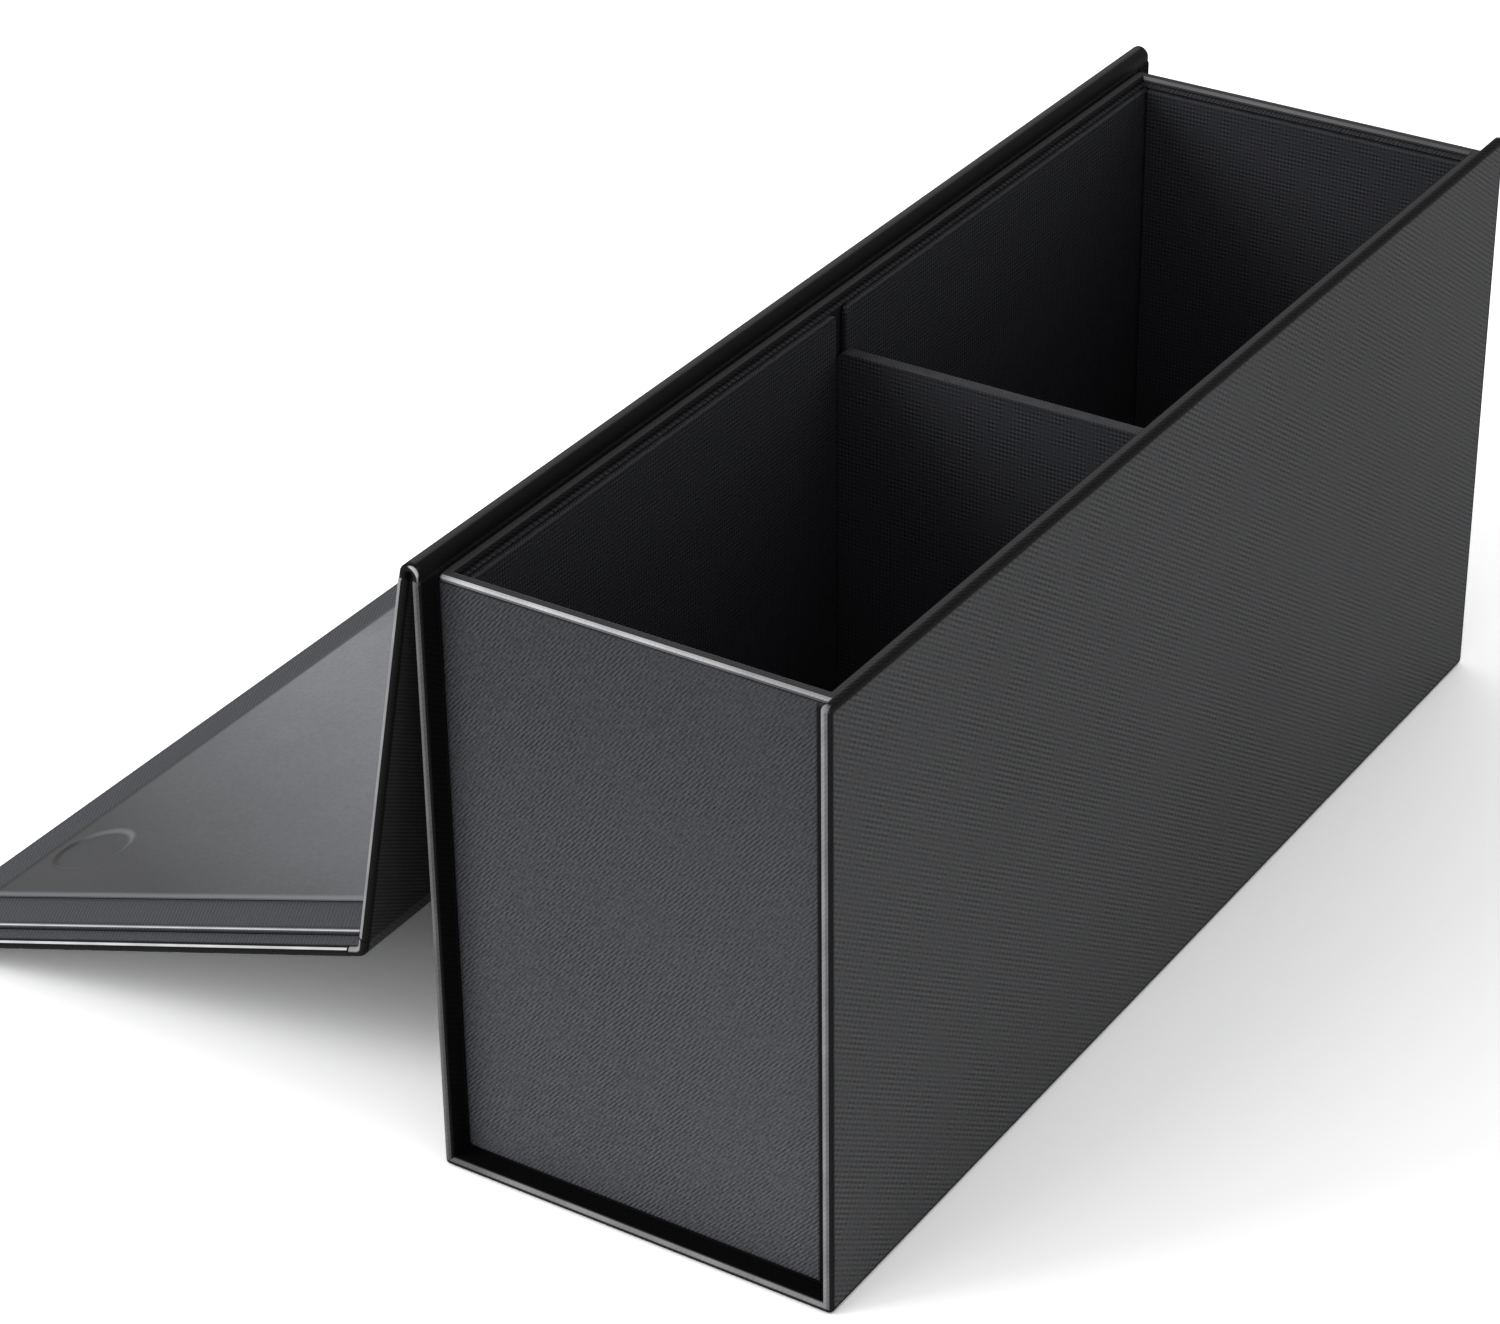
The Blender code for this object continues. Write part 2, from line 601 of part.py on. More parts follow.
def make_magnet(name, y, pad, skin, liner, axis):
    """One magnet in the pad's bore, and the dip that the liner makes over it."""
    outer = AXIS_UNDER_SKIN
    cone_radius = DIP_RADIUS + DIP_SLOPE
    bore_middle = (MAGNET_REACH, y, outer - (LIP_TOP + PAD_TOP) / 2)
    combine(pad, add_disc("magnet_bore_" + name, bore_middle, MAGNET_RADIUS + GAP, PAD_TOP, "Z", axis))
    punch_middle = (MAGNET_REACH, y, outer - PAD_SKIN_TOP)
    combine(skin, add_disc("pad_punch_" + name, punch_middle, cone_radius + GAP, PAD_BOARD, "Z", axis))

    dip_middle = (MAGNET_REACH, y, outer - LINER_TOP)
    combine(liner, add_disc("liner_boss_" + name, dip_middle, cone_radius, SKIN + SKIN, "Z", axis), "UNION")
    dip_low = (MAGNET_REACH, y, outer - FLAP_THICKNESS)
    dip = add_disc(
        "liner_dip_" + name, dip_low, cone_radius, SKIN + SKIN, "Z", axis, far_radius=DIP_RADIUS - DIP_SLOPE
    )
    combine(liner, dip)

    magnet_middle = (MAGNET_REACH, y, outer - LIP_TOP - MAGNET_THICKNESS / 2)
    add_disc("flap_magnet_" + name, magnet_middle, MAGNET_RADIUS, MAGNET_THICKNESS, "Z", axis, "nickel")


def build():
    """Make the whole case."""
    clear_scene()
    make_cover_wrap()
    make_cover_boards()
    make_tray_wrap()
    make_tray_boards()
    make_linings()
    make_divider()
    make_lid_hinge()
    lid_axis = add_axis("lid_axis", (LID_AXIS_X, 0.0, LID_AXIS_Z), LID_OPEN)
    make_lid(lid_axis)
    make_flap_hinge(lid_axis)
    flap_axis = add_axis("flap_axis", (LID_SPAN, 0.0, 0.0), FLAP_OPEN, lid_axis)
    make_flap(flap_axis)


build()
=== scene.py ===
"""Dresses the storage case in woven cloth, lining papers, hinge cloths and metal, in a pale studio."""

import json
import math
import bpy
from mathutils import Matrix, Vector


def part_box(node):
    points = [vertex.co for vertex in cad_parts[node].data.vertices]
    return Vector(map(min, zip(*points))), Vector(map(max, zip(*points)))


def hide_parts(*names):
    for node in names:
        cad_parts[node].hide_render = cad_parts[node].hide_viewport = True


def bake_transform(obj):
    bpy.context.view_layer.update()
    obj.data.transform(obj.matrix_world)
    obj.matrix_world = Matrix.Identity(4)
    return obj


bl_info = {
    "name": "Storage Case Finish",
    "version": (1, 0, 0),
    "blender": (4, 5, 0),
    "location": "View3D > Sidebar > Storage Case",
    "description": "Finishes a book-style storage case with cloth, lining, hinges and a studio",
    "category": "Object",
}

import bpy
from bpy.props import FloatProperty, FloatVectorProperty, PointerProperty
from mathutils import Euler, Matrix, Vector

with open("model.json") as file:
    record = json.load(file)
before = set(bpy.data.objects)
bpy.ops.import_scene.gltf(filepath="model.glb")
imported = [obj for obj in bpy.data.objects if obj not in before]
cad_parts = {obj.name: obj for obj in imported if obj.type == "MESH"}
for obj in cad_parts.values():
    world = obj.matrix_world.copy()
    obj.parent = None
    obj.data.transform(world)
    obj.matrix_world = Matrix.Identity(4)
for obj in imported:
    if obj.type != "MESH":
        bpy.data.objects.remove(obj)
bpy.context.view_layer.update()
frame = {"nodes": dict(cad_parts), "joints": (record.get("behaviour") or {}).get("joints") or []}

MM = 0.001
BLACK = (0.0, 0.0, 0.0)
ORIGIN = (0.0, 0.0, 0.0)

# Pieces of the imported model, by finish
CASE_CLOTH = ("cover_wrap",)
TRAY_CLOTH = ("tray_wrap",)
LID_CLOTH = ("lid_wrap",)
FLAP_CLOTH = ("flap_wrap",)
PAD_CLOTH = ("flap_pad_wrap",)
LINING = tuple(
    f"lining_{wall}_{side}" for wall in ("floor", "end", "front", "back") for side in ("near", "far")
)
DIVIDER_PAPER = ("divider_wrap",)
LID_LINER = ("lid_liner",)
FLAP_LINER = ("flap_liner",)
BOARDS = (
    "cover_board_front",
    "cover_board_base",
    "cover_board_back",
    "lid_board",
    "flap_board",
    "flap_pad",
    "tray_board_base",
    "tray_board_front",
    "tray_board_back",
    "tray_board_near",
    "tray_board_far",
    "divider_board",
)
CATCH_DISCS = ("catch_disc_near", "catch_disc_far")
MAGNETS = ("flap_magnet_near", "flap_magnet_far")


def joint_place(name):
    """Where a joint's axis is at rest."""
    for joint in frame["joints"]:
        if joint["name"] == name:
            return Vector(joint["pos_m"])
    raise RuntimeError(f"the frame has no joint named {name}")


# Where the panels lie in the photograph's open pose
LID_AXIS = joint_place("lid_hinge")
FLAP_AXIS = joint_place("flap_hinge")
FLAP_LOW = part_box("flap_wrap")[0]
LID_WAY = (FLAP_AXIS - LID_AXIS).normalized()
FLAP_WAY = (Vector((FLAP_LOW.x, 0.0, FLAP_LOW.z)) - FLAP_AXIS).normalized()
COVER_LOW, COVER_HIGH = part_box("cover_wrap")
TRAY_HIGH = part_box("tray_wrap")[1]
PANEL_THICKNESS = 2.5 * MM

# Ways that the waves of the weave run along, and how much the lower waves add to the rows
ROWS_WAY = (-1.12, 0.67, 1.0)
CROSS_WAY = (1.12, -0.67, 1.0)
STITCH_WAY = (0.9, 0.62, -0.3)
CROSS_SHARE = 0.28
STITCH_SHARE = 0.36

# Scales of the noise in the cloths and papers, in turns to the metre
THREAD_GRAIN = 2100.0
THREAD_BREAKS = 380.0
CLOTH_PATCHES = 75.0
CLOTH_CLOUDS = 9.0
EDGE_UNEVENNESS = 90.0
LINING_PATCHES = 320.0
LINER_GRAIN = 900.0
LINER_CLOUDS = 22.0
BOARD_FIBRE = 700.0
METAL_MARKS = 1500.0

# Heights of the fine bumps
LINING_BUMP = 0.09 * MM
LINER_BUMP = 0.04 * MM
BOARD_BUMP = 0.08 * MM

# Painted shade: dark bands on the cover and the tray
CORNER_SHADE = 5.0 * MM
CORNER_SOFTNESS = 0.8 * MM
CORNER_START = 0.8 * MM
CORNER_FULL = 3.0 * MM
FOOT_LINE = 1.6 * MM
FOOT_SOFTNESS = 0.35 * MM
REVEAL_START = 0.05 * MM
REVEAL_FULL = 0.3 * MM

# Across and along the case, where the painted highlights on its edges grow fainter
BACK_LINE_FROM = -45.0 * MM
BACK_LINE_TO = -30.0 * MM
RIM_LINE_FROM = -25.0 * MM
MITRE = 0.5 * MM
MIDDLE = 10.0 * MM

# On the liners: the painted highlight along the ends, the painted shade along the free edge, the painted
# light and shade round a magnet's dip, and the painted sheen
LINER_END = (0.9 * MM, 2.6 * MM)
LINER_EDGE = (0.8 * MM, 2.4 * MM)
RING_INNER = 8.4 * MM
RING_CREST = 9.8 * MM
RING_OUTER = 11.4 * MM
RING_REACH = 10.0 * MM
SHEEN_START, SHEEN_LEAST, SHEEN_MOST = 0.88, 0.08, 0.5

# Facets of the folds
CORNER_SHARE = 0.46
CORNER_STEPS = 5
BEND_STEPS = 14
WELD = 0.001 * MM
SMOOTH_ANGLE = math.radians(40.0)

# The studio: each soft box's name, place, size and setting, and the table
SOFT_BOXES = (
    ("Key Light", (-1.05, -1.1, 0.95), 0.7, "key"),
    ("Low Light", (-0.5, -1.5, 0.55), 0.5, "low"),
    ("Back Light", (-1.3, 1.2, 0.45), 0.8, "back"),
)
AIM = Vector((0.0, 0.0, 0.08))
TABLE_SIZE = 12.0
TABLE_DROP = 0.2 * MM
SENSOR_WIDTH = 36.0
FAR_CLIP = 50.0


# Sizes and colours that a user would change


def colour_setting(name, description, default):
    """A colour that a user can change."""
    return FloatVectorProperty(name=name, description=description, subtype="COLOR", size=3, default=default)


def length_setting(name, description, default):
    """A length that a user can change."""
    return FloatProperty(name=name, description=description, unit="LENGTH", default=default)


def number_setting(name, description, default):
    """A plain number that a user can change."""
    return FloatProperty(name=name, description=description, default=default)


class StorageCaseCloth(bpy.types.PropertyGroup):
    """Woven cloth on the cover, the tray and the flap, with the light and shade painted on its edges."""

    end_colour: colour_setting("End colour", "Cloth on the end walls", (0.0470, 0.0485, 0.0535))
    panel_colour: colour_setting("Panel colour", "Cloth on the flap", (0.0525, 0.0545, 0.0600))
    side_colour: colour_setting("Side colour", "Cloth on the long sides", (0.054, 0.055, 0.057))
    # Painted highlight: the pale colour laid along edges where they face up and outward, towards the lamps
    edge_highlight_colour: colour_setting("Edge highlight colour", "Highlight painted along an edge", (0.27, 0.27, 0.28))
    # Painted highlight on the rim of the tray's end walls, also used on the ends of the flap, the pad and
    # the lid's loop
    bead_highlight_colour: colour_setting("Bead highlight colour", "Highlight painted on the rim of the tray's end walls", (0.58, 0.58, 0.60))
    # Painted shade: the near-black band beside edges, the dark line at the foot, and the whole cloth of the
    # lid's loop
    edge_shade_colour: colour_setting("Edge shade colour", "Shade painted beside an edge", (0.003, 0.003, 0.0035))
    # Painted shade for the shadowed reveal inside the cover's ends and for the corner beside the front
    # panel's lip
    reveal_shade_colour: colour_setting("Reveal shade colour", "Shade painted inside the cover's ends", (0.0008, 0.0008, 0.001))
    pitch: length_setting("Weave pitch", "Height of one row of the weave", 1.18 * MM)
    side_pitch: length_setting("Side pitch", "Height of one row of the weave on the cover", 1.39 * MM)
    weave_depth: length_setting("Weave depth", "Height of the threads", 0.12 * MM)
    # Width of the painted shade and highlight beside an edge
    edge_width: length_setting("Edge width", "How far an edge reaches into the cloth beside it", 1.9 * MM)
    roughness: number_setting("Roughness", "Roughness of the cloth", 0.7)


class StorageCaseLining(bpy.types.PropertyGroup):
    """Papers inside the tray, the lid and the flap."""

    lining_colour: colour_setting("Lining colour", "Lining of the tray", (0.017, 0.0175, 0.021))
    liner_colour: colour_setting("Liner colour", "Liner of the lid and the flap", (0.308, 0.317, 0.347))
    line_pitch: length_setting("Line pitch", "Distance of the lining's fine lines", 1.1 * MM)


class StorageCaseHinge(bpy.types.PropertyGroup):
    """Cloth strips at the lid's and the flap's folds."""

    thickness: length_setting("Fold thickness", "Thickness of the flap's fold", 2.4 * MM)
    loop_thickness: length_setting("Loop thickness", "Thickness of the lid's cloth loop", 1.6 * MM)
    setback: length_setting("Panel setback", "From a fold's axis to the panel's edge", 3.5 * MM)
    tuck: length_setting("Tuck", "How far a fold's cloth reaches into a panel", 0.6 * MM)
    skin_depth: length_setting("Skin depth", "From a fold's axis to the middle of the panel", 1.05 * MM)
    bend_radius: length_setting("Bend radius", "Radius of the flap's bend", 2.4 * MM)


class StorageCaseStudio(bpy.types.PropertyGroup):
    """Camera and light."""

    camera_place: FloatVectorProperty(
        name="Camera place",
        description="Where the camera stands",
        subtype="XYZ",
        size=3,
        default=(0.4369, -0.7836, 0.6007),
    )
    camera_turn: FloatVectorProperty(
        name="Camera turn",
        description="Tilt down, roll and turn of the camera",
        subtype="EULER",
        size=3,
        default=(math.radians(30.824), math.radians(-0.789), math.radians(32.956)),
    )
    focal_length: number_setting("Focal length", "Lens in mm on a 36 mm wide sensor", 105.24)
    floor_colour: colour_setting("Floor colour", "Colour of the table", (0.86, 0.86, 0.86))
    backdrop: number_setting("Backdrop", "Brightness of the table as the camera sees it", 1.84)
    sky: number_setting("Sky", "Strength of the light from all round", 0.72)
    key: number_setting("Key", "Power of the soft box, in watts", 12.0)
    low: number_setting("Low", "Power of the low light in front, in watts", 3.5)
    back: number_setting("Back", "Power of the low light behind, in watts", 1.5)


# Small tools for nodes


def is_socket(value):
    """Tell a socket from a plain value."""
    return isinstance(value, bpy.types.NodeSocket)


class Tree:
    """Adds and joins nodes in one node tree."""

    def __init__(self, tree):
        self.tree = tree

    def feed(self, socket, value):
        """Join a socket to an input, or set its plain value."""
        if is_socket(value):
            self.tree.links.new(value, socket)
        else:
            socket.default_value = value

    def add(self, kind, feeds=None, **settings):
        """Add a node, change its settings and feed its inputs."""
        node = self.tree.nodes.new(kind)
        for key, value in settings.items():
            setattr(node, key, value)
        for key, value in (feeds or {}).items():
            self.feed(node.inputs[key], value)
        return node

    def math(self, operation, first, second=0.0, clamp=False):
        """One Math node's result."""
        node = self.add("ShaderNodeMath", {0: first, 1: second}, operation=operation, use_clamp=clamp)
        return node.outputs[0]

    def blend(self, share, first, second):
        """A number between two, by share."""
        node = self.add("ShaderNodeMix", {"Factor": share, "A": first, "B": second}, data_type="FLOAT")
        return node.outputs["Result"]

    def tint(self, share, first, second):
        """A colour between two, by share."""
        node = self.add("ShaderNodeMix", data_type="RGBA")
        for socket, value in ((node.inputs[0], share), (node.inputs[6], first), (node.inputs[7], second)):
            self.feed(socket, value if is_socket(value) or isinstance(value, float) else (*value, 1.0))
        return node.outputs[2]

    def ramp(self, value, low, high, start=0.0, end=1.0):
        """A smooth step from start to end as a value goes from low to high."""
        feeds = {"Value": value, "From Min": low, "From Max": high, "To Min": start, "To Max": end}
        return self.add("ShaderNodeMapRange", feeds, interpolation_type="SMOOTHSTEP").outputs[0]

    def vector(self, operation, first, second):
        """One Vector Math node."""
        return self.add("ShaderNodeVectorMath", {0: first, 1: second}, operation=operation)

    def split(self, vector):
        """The three parts of a vector."""
        return self.add("ShaderNodeSeparateXYZ", {0: vector}).outputs

    def normal(self):
        """The three parts of the piece's own normal."""
        return self.split(self.add("ShaderNodeTexCoord").outputs["Normal"])

    def noise(self, vector, scale, detail=2.0):
        """Noise from 0 to 1."""
        feeds = {"Vector": vector, "Scale": scale, "Detail": detail}
        return self.add("ShaderNodeTexNoise", feeds).outputs["Fac"]

    def group(self, made, feeds):
        """What a node group gives."""
        return self.add("ShaderNodeGroup", feeds, node_tree=made).outputs


class Finish:
    """A material in the making: its nodes, its shader, its place on the piece and its colour so far."""

    def __init__(self, name, roughness, metallic=0.0, specular=0.5):
        self.material = bpy.data.materials.new(name)
        self.material.use_nodes = True
        self.tree = Tree(self.material.node_tree)
        self.inputs = self.material.node_tree.nodes["Principled BSDF"].inputs
        self.place = None
        self.colour = None
        shine = {"Roughness": roughness, "Metallic": metallic, "Specular IOR Level": specular}
        for key, value in shine.items():
            self.tree.feed(self.inputs[key], value)

    def lay(self, way=None, origin=ORIGIN):
        """Take places from the piece, turned to lie along a tilted panel where one is given."""
        self.place = self.tree.add("ShaderNodeTexCoord").outputs["Object"]
        if way is not None:
            moved = self.tree.vector("SUBTRACT", self.place, origin).outputs[0]
            feeds = {"Vector": moved, "Rotation": (0.0, math.atan2(way.z, way.x), 0.0)}
            self.place = self.tree.add("ShaderNodeMapping", feeds).outputs[0]
        return self.place

    def paint(self, colour):
        """Take a colour's socket as the colour so far."""
        self.colour = colour
        self.tree.feed(self.inputs["Base Color"], colour)

    def tint(self, share, colour):
        """Blend the colour so far towards another, by share."""
        self.paint(self.tree.tint(share, self.colour, tuple(colour)))

    def bump(self, height, distance, strength):
        """Light the surface as if it had fine heights."""
        feeds = {"Height": height, "Distance": distance, "Strength": strength}
        self.tree.feed(self.inputs["Normal"], self.tree.add("ShaderNodeBump", feeds).outputs[0])

    def from_ends(self, half_length):
        """Distance from the piece's nearer end."""
        along = self.tree.split(self.place)[1]
        return self.tree.math("SUBTRACT", half_length, self.tree.math("ABSOLUTE", along))


def group_tree(name, inputs, outputs):
    """A new node group, with its tools and its input and output nodes."""
    group = bpy.data.node_groups.new(name, "ShaderNodeTree")
    for label, kind in inputs:
        group.interface.new_socket(label, in_out="INPUT", socket_type=kind)
    for label, kind in outputs:
        group.interface.new_socket(label, in_out="OUTPUT", socket_type=kind)
    tree = Tree(group)
    return tree, tree.add("NodeGroupInput").outputs, tree.add("NodeGroupOutput").inputs


def wave(tree, place, way, turns):
    """A sine that runs along a way in space."""
    along = tree.vector("DOT_PRODUCT", place, way).outputs["Value"]
    return tree.math("SINE", tree.math("MULTIPLY", along, turns))


def weave_group():
    """Twill cloth: slanting rows of small raised stitches, the same on every side of a piece."""
    name = "Twill Cloth"
    if name in bpy.data.node_groups:
        return bpy.data.node_groups[name]
    vector, number = "NodeSocketVector", "NodeSocketFloat"
    inputs = (("Place", vector), ("Pitch", number))
    outputs = (("Height", number), ("Shade", number))
    tree, given, out = group_tree(name, inputs, outputs)
    place = given["Place"]
    turns = tree.math("DIVIDE", math.tau, given["Pitch"])
    rows, cross, stitches = (wave(tree, place, way, turns) for way in (ROWS_WAY, CROSS_WAY, STITCH_WAY))
    grain = tree.noise(place, THREAD_GRAIN)
    patches = tree.ramp(tree.noise(place, CLOTH_PATCHES), 0.35, 0.65, 0.45, 1.0)
    breaks = tree.ramp(tree.noise(place, THREAD_BREAKS), 0.3, 0.7, 0.4, 1.35)
    patches = tree.math("MULTIPLY", patches, breaks)
    raised = tree.math("ADD", rows, tree.math("MULTIPLY", cross, CROSS_SHARE))
    raised = tree.math("ADD", raised, tree.math("MULTIPLY", stitches, STITCH_SHARE))
    height = tree.math("ADD", raised, tree.math("MULTIPLY", grain, 0.8))
    tree.feed(out["Height"], tree.math("MULTIPLY", height, 0.5))
    shade = tree.math("MULTIPLY", tree.math("MULTIPLY", raised, patches), 0.46)
    fine = tree.math("MULTIPLY", tree.math("SUBTRACT", grain, 0.5), 1.5)
    tree.feed(out["Shade"], tree.math("ADD", tree.math("ADD", shade, 0.5), fine, clamp=True))
    return bpy.data.node_groups[name]


def edge_group():
    """Painted light and shade at a turned edge: painted shade beside it, and a painted highlight where it
    faces up and outward, towards the lamps.
    """
    name = "Turned Edge"
    if name in bpy.data.node_groups:
        return bpy.data.node_groups[name]
    vector, number = "NodeSocketVector", "NodeSocketFloat"
    inputs = [("Place", vector)] + [(key, number) for key in ("Distance", "Width", "Lean", "Facing", "Full")]
    tree, given, out = group_tree(name, inputs, (("Pale", number), ("Dark", number)))
    # Uneven width and strength of the painted light and shade along the edge
    uneven = tree.noise(given["Place"], EDGE_UNEVENNESS)
    share = tree.math("DIVIDE", given["Distance"], given["Width"])
    share = tree.math("MULTIPLY", share, tree.ramp(uneven, 0.2, 0.8, 0.94, 1.06))
    near = tree.ramp(share, 0.6, 1.0, 1.0, 0.0)
    # Painted highlight: strongest where the piece's own normal faces up and outward, as the lamps light it
    x, y, z = tree.normal()
    up = tree.math("ADD", tree.math("MULTIPLY", x, given["Lean"]), tree.math("MULTIPLY", z, 0.5))
    facing = tree.math("ADD", tree.math("MULTIPLY", tree.math("ABSOLUTE", y), 0.6), up)
    line = tree.ramp(facing, given["Facing"], given["Full"])
    edge_highlight = tree.math("MULTIPLY", line, tree.ramp(uneven, 0.3, 0.7, 0.78, 1.0))
    tree.feed(out["Pale"], tree.math("MULTIPLY", edge_highlight, near))
    tree.feed(out["Dark"], near)
    return bpy.data.node_groups[name]


# Finishes


def cloth_finish(name, cloth, colour, way=None, origin=ORIGIN, contrast=0.35, pitch=None):
    """Woven cover cloth."""
    finish = Finish(name, cloth.roughness, specular=0.08)
    tree, place = finish.tree, finish.lay(way, origin)
    weave = tree.group(weave_group(), {"Place": place, "Pitch": pitch or cloth.pitch})
    dark = tuple((1.0 - contrast) * part for part in colour)
    light = tuple((1.0 + contrast * 1.1) * part for part in colour)
    finish.paint(tree.tint(weave["Shade"], dark, light))
    finish.tint(tree.ramp(tree.noise(place, CLOTH_CLOUDS), 0.3, 0.75, 0.0, 0.16), light)
    finish.bump(weave["Height"], cloth.weave_depth, contrast)
    return finish


def paint_edge_light_and_shade(cloth, finish, distance, pale=1.0, dark=1.0, lean=-0.5, facing=(0.6, 0.72), colour=None):
    """Paint shade beside an edge and a highlight along it, by a distance from the edge."""
    tree = finish.tree
    feeds = {"Place": finish.place, "Distance": distance, "Width": cloth.edge_width, "Lean": lean}
    feeds.update({"Facing": facing[0], "Full": facing[1]})
    edge = tree.group(edge_group(), feeds)
    # Painted shade beside the edge, then a painted highlight along it
    finish.tint(tree.math("MULTIPLY", edge["Dark"], dark), cloth.edge_shade_colour)
    finish.tint(tree.math("MULTIPLY", edge["Pale"], pale), colour or cloth.edge_highlight_colour)


def glint_on_top(cloth, finish, share):
    """A painted glint: a dim highlight along whatever faces straight up."""
    tree = finish.tree
    upward = tree.normal()[2]
    finish.tint(tree.math("MULTIPLY", tree.ramp(upward, 0.9, 0.99), share), cloth.edge_highlight_colour)


def paint_corner_shade(cloth, finish):
    """Paint shade on the tray's end walls in the corner beside the front panel's lip, where the gap falls in
    shadow.
    """
    tree = finish.tree
    parts = tree.split(finish.place)
    inward = tree.math("SUBTRACT", TRAY_HIGH.x, parts[0])
    down = tree.math("SUBTRACT", TRAY_HIGH.z, parts[2])
    beside = tree.ramp(inward, CORNER_SHADE - CORNER_SOFTNESS, CORNER_SHADE, 1.0, 0.0)
    below = tree.ramp(down, CORNER_START, CORNER_FULL)
    finish.tint(tree.math("MULTIPLY", beside, below), cloth.reveal_shade_colour)


def paint_foot_shade(cloth, finish):
    """Painted shade: a thin dark line where the base meets the table."""
    tree = finish.tree
    height = tree.split(finish.place)[2]
    finish.tint(tree.ramp(height, FOOT_LINE - FOOT_SOFTNESS, FOOT_LINE, 0.97, 0.0), cloth.edge_shade_colour)


def paint_reveal_shade(cloth, finish):
    """Paint the cover's inner faces near black as painted shade for the shadowed reveal round the tray, and
    make them fully rough.
    """
    tree = finish.tree
    parts = tree.split(finish.place)
    inner = COVER_HIGH.x - PANEL_THICKNESS
    outward = tree.math("ABSOLUTE", parts[0])
    between = tree.ramp(outward, inner + REVEAL_START, inner + REVEAL_FULL, 1.0, 0.0)
    above = tree.ramp(parts[2], PANEL_THICKNESS - REVEAL_FULL, PANEL_THICKNESS - REVEAL_START, 0.0, 1.0)
    inside = tree.math("MULTIPLY", between, above)
    finish.tint(inside, cloth.reveal_shade_colour)
    tree.feed(finish.inputs["Roughness"], tree.blend(inside, cloth.roughness, 1.0))


def lining_finish(lining):
    """Near-black lining paper with fine crossed lines."""
    finish = Finish("Tray Lining Paper", 0.62, specular=0.25)
    tree, place = finish.tree, finish.lay()
    x, y, z = tree.split(place)
    turns = math.tau / lining.line_pitch
    level = tree.math("SINE", tree.math("MULTIPLY", z, turns))
    upright = tree.math("SINE", tree.math("MULTIPLY", tree.math("ADD", x, y), turns * 1.13))
    lines = tree.math("MULTIPLY", tree.math("ADD", level, upright), 0.5)
    patchy = tree.ramp(tree.noise(place, LINING_PATCHES), 0.35, 0.65, 0.2, 1.0)
    lines = tree.math("MULTIPLY", lines, patchy)
    share = tree.math("ADD", tree.math("MULTIPLY", lines, 0.5), 0.5, clamp=True)
    dark, light = (tuple(level * part for part in lining.lining_colour) for level in (0.12, 2.6))
    finish.paint(tree.tint(share, dark, light))
    finish.bump(lines, LINING_BUMP, 1.0)
    return finish


def liner_finish(name, colour, far_corner, way, origin, falls, magnets=()):
    """Satin liner paper with painted light: a painted sheen, a painted highlight along its ends, painted
    shade along its free edge, and painted light and shade round each magnet's dip.
    """
    finish = Finish(name, 0.5, specular=0.12)
    tree, place = finish.tree, finish.lay(way, origin)
    parts = tree.split(place)
    # Painted sheen: lighter towards the hinge and the middle, darker towards the free edge and the ends
    from_middle = tree.math("ABSOLUTE", parts[1])
    fall = [tree.math("MULTIPLY", part, share) for part, share in zip((parts[0], from_middle), falls)]
    sheen = tree.math("SUBTRACT", SHEEN_START, tree.math("ADD", *fall))
    sheen = tree.math("MINIMUM", tree.math("MAXIMUM", sheen, SHEEN_LEAST), SHEEN_MOST)
    grain = tree.noise(place, LINER_GRAIN, 3.0)
    share = tree.math("MULTIPLY", sheen, tree.ramp(tree.noise(place, LINER_CLOUDS), 0.2, 0.8, 0.92, 1.08))
    share = tree.math("MULTIPLY", share, tree.ramp(grain, 0.2, 0.8, 0.88, 1.12))
    finish.paint(tree.tint(share, BLACK, colour))
    # Painted highlight along the liner's ends
    to_end = tree.math("SUBTRACT", far_corner.y, from_middle)
    finish.tint(tree.ramp(to_end, *LINER_END, 0.34, 0.0), colour)
    # Painted shade along the liner's free edge
    to_edge = tree.math("SUBTRACT", far_corner.x, parts[0])
    finish.tint(tree.ramp(to_edge, *LINER_EDGE, 0.9, 0.0), BLACK)
    for magnet in magnets:
        add_ring(finish, magnet, parts[1], colour)
    finish.bump(grain, LINER_BUMP, 0.6)
    return finish


def add_ring(finish, magnet, along, colour):
    """Painted light and shade round the dip of a magnet: a painted highlight on its far side and painted
    shade on its near side.
    """
    tree = finish.tree
    away = tree.vector("DISTANCE", finish.place, magnet).outputs["Value"]
    inner = tree.ramp(away, RING_INNER, RING_CREST)
    outer = tree.ramp(away, RING_CREST, RING_OUTER, 1.0, 0.0)
    ring = tree.math("MULTIPLY", inner, outer)
    across = tree.math("DIVIDE", tree.math("SUBTRACT", along, magnet[1]), RING_REACH)
    finish.tint(tree.math("MULTIPLY", ring, tree.ramp(across, 0.1, 1.0, 0.0, 0.36)), colour)
    finish.tint(tree.math("MULTIPLY", ring, tree.ramp(across, -0.9, 0.2, 0.85, 0.0)), BLACK)


def board_finish(name, dark, light):
    """Bare pressed board."""
    finish = Finish(name, 0.9, specular=0.2)
    fibre = finish.tree.noise(finish.lay(), BOARD_FIBRE, 4.0)
    finish.paint(finish.tree.tint(fibre, dark, light))
    finish.bump(fibre, BOARD_BUMP, 0.7)
    return finish


def metal_finish(name, colour, roughness):
    """Metal of a disc, with fine turned marks."""
    finish = Finish(name, roughness, metallic=1.0)
    tree = finish.tree
    marks = tree.noise(finish.lay(), METAL_MARKS)
    finish.paint(tree.tint(marks, tuple(0.88 * part for part in colour), colour))
    tree.feed(finish.inputs["Roughness"], tree.ramp(marks, 0.2, 0.8, roughness * 0.8, roughness * 1.2))
    return finish


